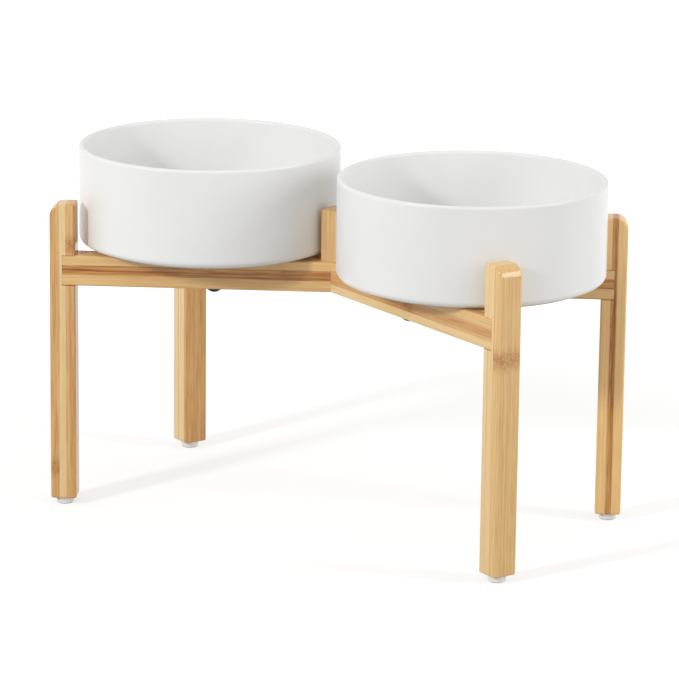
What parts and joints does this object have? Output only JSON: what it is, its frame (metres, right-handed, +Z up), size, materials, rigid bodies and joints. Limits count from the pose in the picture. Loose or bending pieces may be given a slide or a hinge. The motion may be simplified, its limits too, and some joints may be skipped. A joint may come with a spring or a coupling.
{
  "type": "elevated dog bowl",
  "caption": "Raised pet feeder: straight-sided ceramic bowls that lift out of a crossed-rail bamboo stand, held between its leg tops and a short middle post.",
  "frame": {"origin": "on the floor under the crossing of the rails, the middle of the object's footprint", "axes": "+X along the row of bowls, +Y to the back, +Z up"},
  "size_m": [0.3838, 0.186, 0.2462],
  "materials": {
    "ceramic": "matte white glaze",
    "bamboo": "laminated bamboo, satin clear lacquer",
    "dowel_wood": "plain beech, hidden",
    "white_nylon": "moulded white nylon",
    "black_rubber": "moulded black rubber",
    "steel": "zinc-plated steel"
  },
  "bodies": {
    "stand": {"rail_under": "bamboo", "rail_over": "bamboo", "middle_post": "bamboo", "post_screw": "steel", "leg_front_left": "bamboo", "dowel_front_left": "dowel_wood", "foot_front_left": "white_nylon", "foot_screw_front_left": "steel", "bumper_front_left": "black_rubber", "leg_back_left": "bamboo", "dowel_back_left": "dowel_wood", "foot_back_left": "white_nylon", "foot_screw_back_left": "steel", "bumper_back_left": "black_rubber", "leg_front_right": "bamboo", "dowel_front_right": "dowel_wood", "foot_front_right": "white_nylon", "foot_screw_front_right": "steel", "bumper_front_right": "black_rubber", "leg_back_right": "bamboo", "dowel_back_right": "dowel_wood", "foot_back_right": "white_nylon", "foot_screw_back_right": "steel", "bumper_back_right": "black_rubber"},
    "bowl_left": {"bowl_left": "ceramic"},
    "bowl_right": {"bowl_right": "ceramic"}
  },
  "joints": [
    {"name": "bowl_left_lift", "type": "slide", "parent": "stand", "child": "bowl_left", "axis": [0, 0, 1], "range_m": [0, 0.08]},
    {"name": "bowl_right_lift", "type": "slide", "parent": "stand", "child": "bowl_right", "axis": [0, 0, 1], "range_m": [0, 0.08]}
  ]
}
